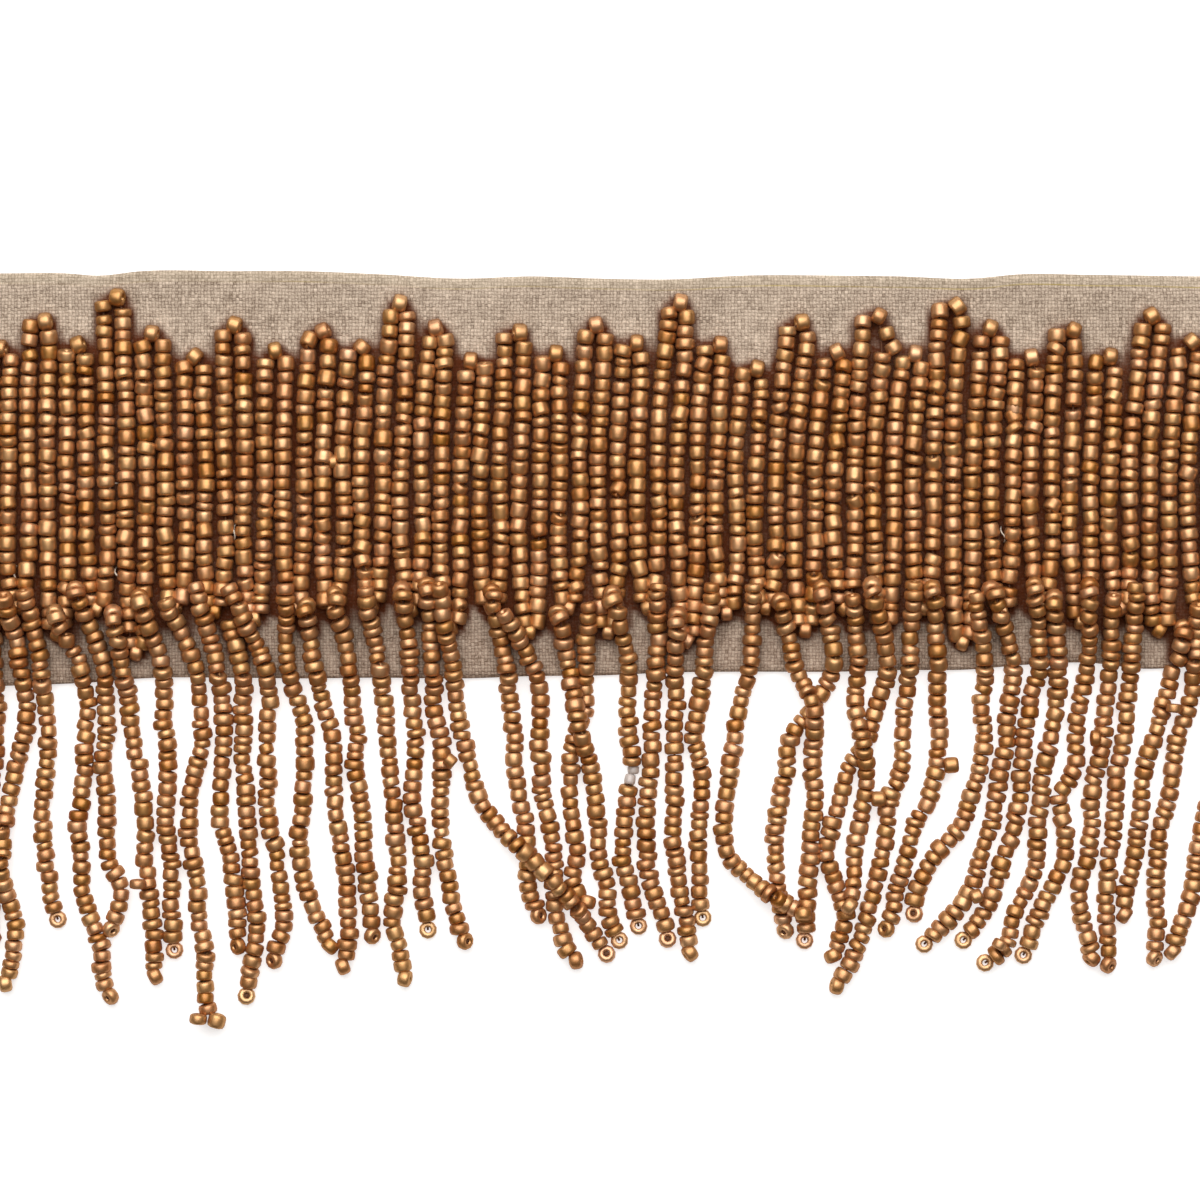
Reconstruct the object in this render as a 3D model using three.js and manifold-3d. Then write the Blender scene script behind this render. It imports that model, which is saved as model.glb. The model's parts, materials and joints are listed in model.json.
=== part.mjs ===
// A cut length of beaded fringe trim, lying face up on a flat surface: a folded linen band, a
// field of bead columns strung in one continuous zigzag, and loose bead strands hanging from
// the band's lower edge. Millimetres: +X along the trim, +Y towards its heading edge, +Z up.
import * as THREE from "three";
import { mergeVertices } from "three/addons/utils/BufferGeometryUtils.js";
import Module from "manifold-3d";

const wasm = await Module();
wasm.setup();

// Driving dimensions
const TRIM_LENGTH = 176;
const LINEN_THICKNESS = 1.2;
const CLEARANCE = 0.3;
const COLUMN_WIDTH = 2.2;
const COLUMN_HEIGHT = 2.2;
const COLUMN_ROUNDING = 0.5;
const COLUMN_FOOT = 6.4;
const COLUMN_PITCH = 2.622;
const FIRST_COLUMN = -86.7;
const HEM_STRIP_TOP = 1;
const STRAND_WIDTH = 2;
const STRAND_HEIGHT = 2.1;
const STRAND_HEAD = 5.8;
const SEWN_DEPTH = 0.25;
const STRAND_STEP = 4;
const END_BEAD = 1.1;

const BEADS_UNDERSIDE = LINEN_THICKNESS + CLEARANCE;
const HALF_LENGTH = TRIM_LENGTH / 2;

// The linen's two long edges, uneven from hand folding: a row for each place along the trim
const linenEdges = [
  { x: -HALF_LENGTH, top: 50.2, bottom: -5.1 },
  { x: -80, top: 50.2, bottom: -5 },
  { x: -71.3, top: 50.2, bottom: -4.7 },
  { x: -67.3, top: 49.9, bottom: -4.5 },
  { x: -61.3, top: 50.5, bottom: -4 },
  { x: -49.3, top: 50.5, bottom: -3.9 },
  { x: -40, top: 50.5, bottom: -4 },
  { x: -29.9, top: 50.1, bottom: -3.9 },
  { x: -18.3, top: 49.5, bottom: -4 },
  { x: -9.3, top: 49.8, bottom: -3.7 },
  { x: 0, top: 49.5, bottom: -3.6 },
  { x: 9.7, top: 49.4, bottom: -3.2 },
  { x: 19.1, top: 49.9, bottom: -3.1 },
  { x: 31.9, top: 49.9, bottom: -3.1 },
  { x: 40, top: 49.8, bottom: -2.9 },
  { x: 49.5, top: 49.5, bottom: -2.8 },
  { x: 56.5, top: 50.1, bottom: -2.2 },
  { x: 65.3, top: 50, bottom: -1.9 },
  { x: 72.7, top: 49.9, bottom: -2.7 },
  { x: 80, top: 49.8, bottom: -2.4 },
  { x: HALF_LENGTH, top: 49.9, bottom: -2.5 },
];

// Bead columns come in pairs joined over the top by one turning bead: the middles of the left
// and right column at their tops, and the turning bead's place. At their feet they are even
const columnPairs = [
  { left: -86.4, right: -83.7, turnX: -85.1, turnY: 43.2 },
  { left: -81.2, right: -78.5, turnX: -79.9, turnY: 40 },
  { left: -76, right: -73.5, turnX: -73.9, turnY: 43.6 },
  { left: -71.1, right: -68.7, turnX: -69.5, turnY: 40.5 },
  { left: -66.1, right: -63.5, turnX: -64.3, turnY: 46.8 },
  { left: -60.9, right: -58.3, turnX: -59.7, turnY: 42 },
  { left: -55.5, right: -52.8, turnX: -54, turnY: 38.9 },
  { left: -50.3, right: -47.5, turnX: -48.7, turnY: 43.1 },
  { left: -44.5, right: -42, turnX: -43.3, turnY: 39.7 },
  { left: -38.7, right: -36.1, turnX: -36.9, turnY: 42.3 },
  { left: -33.6, right: -31.1, turnX: -31.7, turnY: 40.1 },
  { left: -27.9, right: -25.5, turnX: -26.7, turnY: 46 },
  { left: -22.9, right: -20.5, turnX: -21.9, turnY: 42.7 },
  { left: -17.9, right: -15.3, turnX: -17.2, turnY: 38.3 },
  { left: -12.7, right: -10, turnX: -10.7, turnY: 42.1 },
  { left: -7.6, right: -5.2, turnX: -5.9, turnY: 39.3 },
  { left: -2, right: 0.6, turnX: -0.5, turnY: 43.1 },
  { left: 3, right: 5.4, turnX: 4.9, turnY: 40.7 },
  { left: 9.1, right: 11.6, turnX: 10.7, turnY: 46.1 },
  { left: 14, right: 16.4, turnX: 16, turnY: 40.5 },
  { left: 18.9, right: 21.5, turnX: 20.9, turnY: 37.3 },
  { left: 25.1, right: 27.7, turnX: 26.9, turnY: 43.5 },
  { left: 30, right: 32.6, turnX: 31.6, turnY: 39.5 },
  { left: 35.2, right: 37.8, turnX: 37.2, turnY: 44.3 },
  { left: 40.4, right: 42.8, turnX: 42, turnY: 39.3 },
  { left: 45.3, right: 48, turnX: 47.6, turnY: 45.6 },
  { left: 50.8, right: 53.2, turnX: 52, turnY: 42.7 },
  { left: 55.6, right: 58, turnX: 57.5, turnY: 38.8 },
  { left: 60.8, right: 63.4, turnX: 63.1, turnY: 42.4 },
  { left: 66, right: 68.6, turnX: 68, turnY: 38.9 },
  { left: 72.3, right: 74.8, turnX: 73.5, turnY: 44.3 },
  { left: 77.2, right: 79.6, turnX: 78.9, turnY: 40.9 },
  { left: 82, right: 84.4, turnX: 83.2, turnY: 43.2 },
];

// The fringe's strands, from left to right: where each is sewn to the linen, its middle at five
// depths below, and its tip. A strand that ends above a depth skips it
const STRAND_DEPTHS = [-4, -12, -20, -28, -36];
const strandColumns = ["rootX", "rootY", "a", "b", "c", "d", "e", "tipX", "tipY"];
const strandRows = [
  [-86.6, 6, -86.4, -86, -86.4, -86.6, null, -86.5, -37],
  [-83.5, 7.2, -83, -82.7, -83.4, -83.9, -83.6, -83.3, -41.6],
  [-80.4, 6.5, -79.9, -79.7, -80.8, -81.3, -81.3, -81.3, -38.8],
  [-78.9, 6.5, -77.3, -76.9, -78.7, -79.5, -78.3, -79.5, -44.8],
  [-76.3, 7.3, -74.4, -73.7, -74.5, -74.2, null, -72.4, -36.3],
  [-72.3, 4.9, -68.8, -68.5, -69.1, -69.5, -67.6, -65.5, -46.5],
  [-69.5, 7.9, -66.3, -66.1, -65.9, -65.1, null, -65.2, -37.5],
  [-64.7, 4.7, -63.2, -62.2, -61.1, -60.8, -59.9, -59.6, -43.7],
  [-61.1, 6.9, -58.3, -58.1, -58, -57.5, -57.1, -56.9, -40.4],
  [-57.6, 6, -53.6, -53.2, -54.8, -54.7, -53.5, -52.4, -49.4],
  [-53.7, 8.1, -51.1, -50.2, -50.5, -49.5, -48.4, -48.3, -39.7],
  [-49.2, 3.2, -47.3, -47.5, -47.3, -46.7, -45.9, -47.2, -46.5],
  [-49.2, 7.9, -44.3, -44.3, -44.5, -43.3, -42.3, -43.6, -41.7],
  [-41.7, 7.9, -41.3, -39.4, -39.7, -40.1, -38, -36, -39.9],
  [-39.1, 5.7, -37.7, -36.1, -35.5, -34.4, -33.5, -34.3, -42.5],
  [-35.2, 7.3, -33.3, -32.6, -31.9, -31.3, -30.3, -30.4, -38.5],
  [-31.2, 7.6, -29.1, -28.5, -27.6, -26.9, -27.7, -26.1, -44.1],
  [-26.1, 7.9, -25.1, -24.7, -24.8, -23.7, null, -23.2, -37.7],
  [-22.9, 8.4, -22.3, -21.4, -21.2, -20.7, -19.1, -18.1, -39.1],
  [-21.2, 7.9, -19.6, -18.4, -16, -8.9, -2, 0.9, -40.8],
  [-14.5, 7.6, -12.1, -11.5, -10.4, -9.7, null, -8.1, -35.7],
  [-12.5, 4.4, -8.4, -8.1, -7.6, -6, -5.6, -3.2, -41.7],
  [-5.5, 4.7, -4, -2.3, -0.8, 0.5, 1.5, 2.8, -39.1],
  [-1.7, 5.5, -1.7, -3.2, -4.1, -3.1, null, -1.3, -35.9],
  [1.6, 7.3, 4, 4.1, 3.7, 3.3, null, 5.3, -37.2],
  [7.7, 8.1, 7.3, 6.7, 6.5, 6.8, 8.5, 9.2, -38.9],
  [10.3, 4.4, 10.1, 10.1, 10.1, 9.9, 11.2, 12.1, -40.5],
  [14.9, 8.1, 14, 13.1, 13.7, 13.3, null, 13.7, -36.3],
  [20.3, 8.1, 20, 18, 16.9, 17.5, null, 27.5, -35.3],
  [24, 6.3, 26.7, 28.7, 29.1, 28.1, 28.1, 27.6, -39.1],
  [29.3, 8.1, 30.4, 25.3, 24.3, 23.7, null, 24.8, -37.7],
  [33.6, 6.5, 34.5, 35, 35.3, 34.1, null, 33.2, -34.3],
  [36.1, 8.4, 37.7, 36, 31.9, 30.5, 32.5, 31.1, -41.1],
  [41.6, 8.4, 41.2, 40.7, 38.8, 37.4, 36, 31.6, -45.5],
  [44.1, 8.1, 45.1, 45, 43.9, 40.9, null, 38.3, -37.5],
  [49.9, 6.8, 51.7, 51.1, 49.6, 44.5, null, 41.9, -35.7],
  [52, 7.9, 55.2, 54.3, 52.8, 50.7, 46.5, 43.3, -39.6],
  [57.6, 8.5, 58.3, 57.1, 56.3, 54.1, 50.8, 48.5, -39.1],
  [60.1, 6.8, 61.1, 60.2, 58.9, 58.2, 55.6, 51.2, -42.1],
  [64.8, 8.4, 64.9, 63.6, 61.5, 61.9, 58.7, 56.5, -41.1],
  [68, 6.5, 68, 67.1, 65.6, 65, 64.3, 65.7, -41.2],
  [71.2, 8.1, 70.8, 69.9, 68.8, 68.2, 67.5, 68, -42.4],
  [77.7, 2.8, 76.1, 73.9, 72.4, 71.3, null, 69.9, -35.6],
  [79.5, 5.2, 79.5, 77.5, 76.1, 74.3, 74.4, 74.3, -41.3],
  [81.6, 6.5, 81.9, 81.2, 80.3, 79.3, 78, 76.4, -40.4],
  [84.8, 6, 84.8, 84.1, 83.3, 82.4, 81.2, 80, -42],
  [86.5, 7.1, 86.8, 86.6, 86, 85.3, 84.4, 84, -38.6],
];

// Strands that lie over others, counted from the left end, first strand 0
const crossings = [
  { over: 19, under: [20, 21, 23] },
  { over: 22, under: [23] },
  { over: 28, under: [29, 30] },
  { over: 29, under: [30] },
  { over: 31, under: [32] },
];

// A BufferGeometry as a manifold solid, so that closed shapes can be joined
function solidFrom(geometry) {
  const bare = geometry.clone();
  bare.deleteAttribute("normal");
  bare.deleteAttribute("uv");
  const merged = mergeVertices(bare, 1e-4);
  return new wasm.Manifold(
    new wasm.Mesh({
      numProp: 3,
      vertProperties: merged.getAttribute("position").array,
      triVerts: new Uint32Array(merged.index.array),
    }),
  );
}

// A manifold solid back as a BufferGeometry
function geometryFrom(solid) {
  const mesh = solid.getMesh();
  const geometry = new THREE.BufferGeometry();
  geometry.setAttribute("position", new THREE.BufferAttribute(mesh.vertProperties, 3));
  geometry.setIndex(new THREE.BufferAttribute(mesh.triVerts, 1));
  const faceted = geometry.toNonIndexed();
  faceted.computeVertexNormals();
  return faceted;
}

const points = (rows, x, y) => rows.map((row) => new THREE.Vector2(row[x], row[y]));

// A flat sheet of linen between two long edges, each given from left to right
function linenSheet(upper, lower) {
  const outline = new THREE.Shape();
  outline.moveTo(upper[0].x, upper[0].y);
  outline.splineThru(upper.slice(1));
  const back = [...lower].reverse();
  outline.lineTo(back[0].x, back[0].y);
  outline.splineThru(back.slice(1));
  return new THREE.ExtrudeGeometry(outline, {
    depth: LINEN_THICKNESS,
    bevelEnabled: false,
    curveSegments: 2,
  });
}

const straightEdge = (y) => [
  new THREE.Vector2(-HALF_LENGTH, y),
  new THREE.Vector2(HALF_LENGTH, y),
];

// Where the bead line turns from one column to the next, over the top (side 1) or under the
// foot (side -1): the points of its outer and its inner edge
function turn(left, right, apex, side) {
  const half = COLUMN_WIDTH / 2;
  const shoulder = apex.y - side * COLUMN_WIDTH;
  const flat = half / 2;
  const outer = [
    new THREE.Vector2(left - half, shoulder),
    new THREE.Vector2(apex.x - flat, apex.y + side * half),
    new THREE.Vector2(apex.x + flat, apex.y + side * half),
    new THREE.Vector2(right + half, shoulder),
  ];
  const notch = apex.y - side * COLUMN_WIDTH * 1.4;
  const inner = [
    new THREE.Vector2(left + half, notch),
    new THREE.Vector2(right - half, notch),
  ];
  return { outer, inner };
}

// The whole bead field: one line that climbs a column, turns, comes down the next and turns
// again, all the way along, seen as a plan outline with rounded upper and lower edges
function beadZigzag() {
  const half = COLUMN_WIDTH / 2;
  const footX = (column) => FIRST_COLUMN + column * COLUMN_PITCH;
  const first = footX(0);
  const last = footX(2 * columnPairs.length - 1);
  const leftSide = [new THREE.Vector2(first - half, COLUMN_FOOT)];
  const rightSide = [new THREE.Vector2(first + half, COLUMN_FOOT)];
  columnPairs.forEach((pair, index) => {
    const top = turn(pair.left, pair.right, new THREE.Vector2(pair.turnX, pair.turnY), 1);
    leftSide.push(...top.outer);
    rightSide.push(...top.inner);
    if (index < columnPairs.length - 1) {
      const down = footX(2 * index + 1);
      const up = footX(2 * index + 2);
      const foot = turn(down, up, new THREE.Vector2((down + up) / 2, COLUMN_FOOT + half), -1);
      leftSide.push(...foot.inner);
      rightSide.push(...foot.outer);
    }
  });
  leftSide.push(new THREE.Vector2(last + half, COLUMN_FOOT));
  rightSide.push(new THREE.Vector2(last - half, COLUMN_FOOT));
  const outline = new THREE.Shape([...leftSide, ...rightSide.reverse()]);
  const geometry = new THREE.ExtrudeGeometry(outline, {
    depth: COLUMN_HEIGHT - 2 * COLUMN_ROUNDING,
    bevelThickness: COLUMN_ROUNDING,
    bevelSize: COLUMN_ROUNDING,
    bevelOffset: -COLUMN_ROUNDING,
    bevelSegments: 1,
  });
  geometry.translate(0, 0, COLUMN_ROUNDING + BEADS_UNDERSIDE);
  return geometry;
}

const strands = strandRows.map((row) =>
  Object.fromEntries(strandColumns.map((name, index) => [name, row[index]])),
);

// A strand's sideways place at any depth, as a smooth curve through its row of the table
function strandCurve(strand) {
  const depths = [-strand.rootY];
  const places = [strand.rootX];
  const middles = [strand.a, strand.b, strand.c, strand.d, strand.e];
  middles.forEach((x, index) => {
    if (x !== null) {
      depths.push(-STRAND_DEPTHS[index]);
      places.push(x);
    }
  });
  depths.push(-strand.tipY);
  places.push(strand.tipX);
  const curve = new THREE.CubicInterpolant(depths, places, 1);
  return (y) => curve.evaluate(-y)[0];
}

strands.forEach((strand) => {
  strand.at = strandCurve(strand);
});

// The depths at which a strand's sections stand, from its head to past its last bead
function sectionDepths(strand) {
  const foot = strand.tipY - END_BEAD;
  const overLinen = [HEM_STRIP_TOP + CLEARANCE, HEM_STRIP_TOP - 1.5];
  const depths = [Math.min(strand.rootY, STRAND_HEAD), ...overLinen];
  for (let y = STRAND_DEPTHS[0]; y > foot + STRAND_STEP / 2; y -= STRAND_STEP) {
    depths.push(y);
  }
  depths.push(foot);
  return depths;
}

// How high a strand's underside lies: clear over the linen band, sewn into the lower strip,
// then down over its edge to the surface
function underside(y) {
  const sewn = LINEN_THICKNESS - SEWN_DEPTH;
  if (y >= HEM_STRIP_TOP + CLEARANCE) return BEADS_UNDERSIDE;
  if (y >= STRAND_DEPTHS[0]) return sewn;
  return Math.max(0, sewn * (1 - (STRAND_DEPTHS[0] - y) / STRAND_STEP));
}

// How far a strand is lifted where it lies over another
function lift(index, y) {
  const reach = STRAND_WIDTH + CLEARANCE;
  const crossed = crossings
    .filter((crossing) => crossing.over === index)
    .flatMap((crossing) => crossing.under)
    .map((number) => strands[number])
    .filter((other) => y < other.rootY && y > other.tipY - 2 * END_BEAD);
  const touches = crossed.some((other) => {
    const near = [y - STRAND_STEP / 2, y, y + STRAND_STEP / 2];
    const gaps = near.map((depth) => strands[index].at(depth) - other.at(depth));
    const passes = Math.min(...gaps) < 0 && Math.max(...gaps) > 0;
    return passes || Math.min(...gaps.map(Math.abs)) < reach;
  });
  return touches ? STRAND_HEIGHT + CLEARANCE : 0;
}

// One strand as a square bar of beads, bent along its route and level on what it lies on
function strandGeometry(strand, index) {
  const depths = sectionDepths(strand);
  const steps = depths.length - 1;
  const bar = new THREE.BoxGeometry(STRAND_WIDTH, 1, STRAND_HEIGHT, 1, steps, 1);
  const place = bar.getAttribute("position");
  for (let i = 0; i < place.count; i += 1) {
    const section = Math.round((0.5 - place.getY(i)) * steps);
    const y = depths[section];
    const slope = strand.at(y - 0.5) - strand.at(y + 0.5);
    const across = new THREE.Vector2(1, slope).normalize();
    const side = place.getX(i);
    const height = place.getZ(i) + STRAND_HEIGHT / 2;
    place.setXYZ(
      i,
      strand.at(y) + across.x * side,
      y + across.y * side,
      underside(y) + lift(index, y) + height,
    );
  }
  return bar;
}

// The fringe: every strand, joined at its root to the narrow strip along the linen's edge
function fringe() {
  const strip = linenSheet(straightEdge(HEM_STRIP_TOP), points(linenEdges, "x", "bottom"));
  const joined = strands.reduce(
    (whole, strand, index) => whole.add(solidFrom(strandGeometry(strand, index))),
    solidFrom(strip),
  );
  return geometryFrom(joined);
}

const linenFinish = new THREE.MeshStandardMaterial({
  color: 0xb9a88f,
  roughness: 0.9,
  metalness: 0,
});
const beadFinish = new THREE.MeshStandardMaterial({
  color: 0xb07a45,
  roughness: 0.38,
  metalness: 0.7,
});

// The pieces, each a named mesh
const trim = new THREE.Group();

function addPiece(name, geometry, finish) {
  const mesh = new THREE.Mesh(geometry, finish);
  mesh.name = name;
  trim.add(mesh);
}

const bandFoot = straightEdge(HEM_STRIP_TOP + CLEARANCE);
addPiece("linen_band", linenSheet(points(linenEdges, "x", "top"), bandFoot), linenFinish);
addPiece("bead_columns", beadZigzag(), beadFinish);
addPiece("fringe", fringe(), beadFinish);

export default trim;
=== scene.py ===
"""Beaded fringe trim lying face up: folded linen band, stepped bead field, bead strand fringe.

The sizes are those of the part's own source. +X runs along the trim, +Y towards its plain
heading and +Z up, in metres. Tables are in millimetres, as a maker would measure them.
"""
import json
import math
import random

import bmesh
import bpy
import numpy as np
from mathutils import Matrix, Vector

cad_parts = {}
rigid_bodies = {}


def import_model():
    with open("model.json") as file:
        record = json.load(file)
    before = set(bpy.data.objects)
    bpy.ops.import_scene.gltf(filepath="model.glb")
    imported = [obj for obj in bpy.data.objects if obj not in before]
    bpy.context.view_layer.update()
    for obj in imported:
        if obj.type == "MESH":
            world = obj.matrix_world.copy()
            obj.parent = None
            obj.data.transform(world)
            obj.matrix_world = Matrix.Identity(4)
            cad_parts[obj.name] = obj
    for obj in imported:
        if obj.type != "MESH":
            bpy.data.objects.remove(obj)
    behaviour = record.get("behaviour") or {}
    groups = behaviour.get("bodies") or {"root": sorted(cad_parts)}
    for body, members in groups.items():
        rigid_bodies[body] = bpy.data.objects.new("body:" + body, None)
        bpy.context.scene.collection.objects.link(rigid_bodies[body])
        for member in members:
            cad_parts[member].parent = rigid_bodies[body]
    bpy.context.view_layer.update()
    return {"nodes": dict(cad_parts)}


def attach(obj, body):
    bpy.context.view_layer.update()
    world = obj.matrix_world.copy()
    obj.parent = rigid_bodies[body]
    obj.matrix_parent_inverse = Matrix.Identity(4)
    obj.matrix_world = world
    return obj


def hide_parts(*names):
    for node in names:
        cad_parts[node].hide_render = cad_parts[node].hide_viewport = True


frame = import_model()
bpy.ops.object.select_all(action="DESELECT")

MM = 0.001

# Camera, light and floor
# The picture is taken from straight above with a long lens, and is 160 mm wide at the beads.
# A large soft lamp stands beyond the heading, so each bead shines a little above its middle.
PHOTO_WIDTH = 160 * MM
PHOTO_MIDDLE_Y = 6.5 * MM
BEAD_LEVEL = 2 * MM
LENS, SENSOR = 100, 36

scene = bpy.context.scene
camera_distance = PHOTO_WIDTH * LENS / SENSOR
bpy.ops.object.camera_add(location=(0, PHOTO_MIDDLE_Y, camera_distance + BEAD_LEVEL))
camera = bpy.context.object
camera.name = "camera"
camera.data.lens = LENS
camera.data.sensor_width = SENSOR
scene.camera = camera
scene.view_settings.view_transform = "Standard"

# The lamp looks at the middle of the trim
LAMP_PLACE = (-0.03, 0.36, 0.62)
LAMP_WIDTH = 1.0
LAMP_WATTS = 9.9

bpy.ops.object.light_add(type="AREA", location=LAMP_PLACE)
key_lamp = bpy.context.object
key_lamp.name = "key_lamp"
key_lamp.data.shape = "DISK"
key_lamp.data.size = LAMP_WIDTH
key_lamp.data.energy = LAMP_WATTS
key_lamp.rotation_euler = (-Vector(LAMP_PLACE)).to_track_quat("-Z", "Y").to_euler()

# The room is dim and warm, so the beads' sides stay dark and red
ROOM_COLOUR = (1, 0.6, 0.3, 1)
ROOM_STRENGTH = 0.06

world = bpy.data.worlds.new("dim_room")
world.use_nodes = True
world.node_tree.nodes["Background"].inputs["Color"].default_value = ROOM_COLOUR
world.node_tree.nodes["Background"].inputs["Strength"].default_value = ROOM_STRENGTH
scene.world = world

# The floor glows a little, so that it stays white where the trim shades it
FLOOR_WIDTH = 3
FLOOR_COLOUR = (0.62, 0.62, 0.62, 1)
FLOOR_GLOW = 0.58
FLOOR_ROUGHNESS = 0.8

bpy.ops.mesh.primitive_plane_add(size=FLOOR_WIDTH, location=(0, 0, 0))
floor = bpy.context.object
floor.name = "floor"
floor_paint = bpy.data.materials.new("pale_floor")
floor_paint.use_nodes = True
floor_shader = floor_paint.node_tree.nodes["Principled BSDF"]
floor_shader.inputs["Base Color"].default_value = FLOOR_COLOUR
floor_shader.inputs["Emission Color"].default_value = (1, 1, 1, 1)
floor_shader.inputs["Emission Strength"].default_value = FLOOR_GLOW
floor_shader.inputs["Roughness"].default_value = FLOOR_ROUGHNESS
floor.data.materials.append(floor_paint)


# Linen band
# One strip of natural plain-weave linen, turned over at both long edges so that its raw edges
# meet down the middle of the back, where ladder stitches close them. The beads are sewn to its
# face before it is folded. The heading stays bare for sewing the trim on.
CLOTH = 0.36 * MM
LIFT = 0.02 * MM
BAND_FACE = 1.2 * MM
HALF_LENGTH = 88 * MM
SEAM_Y = 22 * MM
SEAM_GAP = 0.5 * MM
STEPS_ALONG = 220
FACE_STEPS = 96
BACK_STEPS = 8
FOLD_STEPS = 8
CREASE = math.radians(50)

# The two long edges at places along the band: x, top edge, bottom edge
LINEN_EDGES = [
    (-88, 50.2, -5.1),
    (-80, 50.2, -5.0),
    (-71.3, 50.2, -4.7),
    (-67.3, 49.9, -4.5),
    (-61.3, 50.5, -4.0),
    (-49.3, 50.5, -3.9),
    (-40, 50.5, -4.0),
    (-29.9, 50.1, -3.9),
    (-18.3, 49.5, -4.0),
    (-9.3, 49.8, -3.7),
    (0, 49.5, -3.6),
    (9.7, 49.4, -3.2),
    (19.1, 49.9, -3.1),
    (31.9, 49.9, -3.1),
    (40, 49.8, -2.9),
    (49.5, 49.5, -2.8),
    (56.5, 50.1, -2.2),
    (65.3, 50.0, -1.9),
    (72.7, 49.9, -2.7),
    (80, 49.8, -2.4),
    (88, 49.9, -2.5),
]

# Soft puckers pressed into the heading and the lower margin: x, y, reach along, reach across,
# height
PUCKERS = [
    (-66, 49, 7, 3, 0.35),
    (-30, 48, 12, 2.5, 0.25),
    (-14, 47.5, 5, 3, 0.4),
    (3, 48, 9, 3, 0.25),
    (22, 47, 4, 4, 0.3),
    (35, 48, 6, 2.5, 0.3),
    (50, 48.5, 6, 2, 0.35),
    (68, 47, 8, 3, 0.3),
    (-58, 0, 8, 3, 0.25),
    (-20, -1, 6, 3, 0.3),
    (4, -1, 7, 3, 0.25),
    (40, 0, 8, 3, 0.3),
    (60, 0, 6, 2.5, 0.3),
]


def smooth_line(stations, values):
    """A smooth curve through values at rising stations, as a function of the station."""
    xs = np.array(stations, float)
    ys = np.array(values, float)
    slopes = np.gradient(ys, xs)

    def at(x):
        x = np.clip(x, xs[0], xs[-1])
        i = np.clip(np.searchsorted(xs, x) - 1, 0, len(xs) - 2)
        span = xs[i + 1] - xs[i]
        t = (x - xs[i]) / span
        start = ys[i] * (1 + 2 * t) * (1 - t) ** 2 + slopes[i] * span * t * (1 - t) ** 2
        end = ys[i + 1] * t * t * (3 - 2 * t) - slopes[i + 1] * span * t * t * (1 - t)
        return start + end

    return at


edge_x, edge_top, edge_bottom = (np.array(column) * MM for column in zip(*LINEN_EDGES))
top_edge = smooth_line(edge_x, edge_top)
bottom_edge = smooth_line(edge_x, edge_bottom)


def pucker_height(x, y):
    """How far the cloth's face stands above its pressed level."""
    height = 0
    for middle_x, middle_y, along, across, rise in PUCKERS:
        reach = ((x / MM - middle_x) / along) ** 2 + ((y / MM - middle_y) / across) ** 2
        height += rise * MM * math.exp(-reach)
    return height


def sleeve_section(x):
    """The folded cloth's middle line at x, from the seam up the back, round and back to it."""
    low = CLOTH / 2 + LIFT
    high = BAND_FACE - CLOTH / 2
    radius = (high - low) / 2
    middle = (high + low) / 2
    top = top_edge(x) - CLOTH / 2 - radius
    bottom = bottom_edge(x) + CLOTH / 2 + radius
    points = [(y, low) for y in np.linspace(SEAM_Y + SEAM_GAP / 2, top, BACK_STEPS)]
    for angle in np.linspace(-math.pi / 2, math.pi / 2, FOLD_STEPS)[1:-1]:
        points.append((top + radius * math.cos(angle), middle + radius * math.sin(angle)))
    for y in np.linspace(top, bottom, FACE_STEPS):
        points.append((y, high + pucker_height(x, y)))
    for angle in np.linspace(math.pi / 2, 1.5 * math.pi, FOLD_STEPS)[1:-1]:
        points.append((bottom + radius * math.cos(angle), middle + radius * math.sin(angle)))
    points += [(y, low) for y in np.linspace(bottom, SEAM_Y - SEAM_GAP / 2, BACK_STEPS)]
    return points


section_steps = len(sleeve_section(0))
bpy.ops.mesh.primitive_grid_add(
    x_subdivisions=STEPS_ALONG, y_subdivisions=section_steps - 1, size=2, location=(0, 0, 0)
)
linen_band = bpy.context.object
linen_band.name = "linen_sleeve"
sections = {}
for vertex in linen_band.data.vertices:
    along = vertex.co.x
    step = round((vertex.co.y + 1) / 2 * (section_steps - 1))
    if along not in sections:
        sections[along] = sleeve_section(along * HALF_LENGTH)
    y, z = sections[along][step]
    vertex.co = (along * HALF_LENGTH, y, z)
cloth = linen_band.modifiers.new("cloth_thickness", "SOLIDIFY")
cloth.thickness = CLOTH
cloth.offset = 0
cloth.use_even_offset = True
bpy.ops.object.modifier_apply(modifier=cloth.name)
bpy.ops.object.mode_set(mode="EDIT")
bpy.ops.mesh.select_all(action="SELECT")
bpy.ops.mesh.normals_make_consistent(inside=False)
bpy.ops.object.mode_set(mode="OBJECT")
bpy.ops.object.shade_smooth_by_angle(angle=CREASE)


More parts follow.
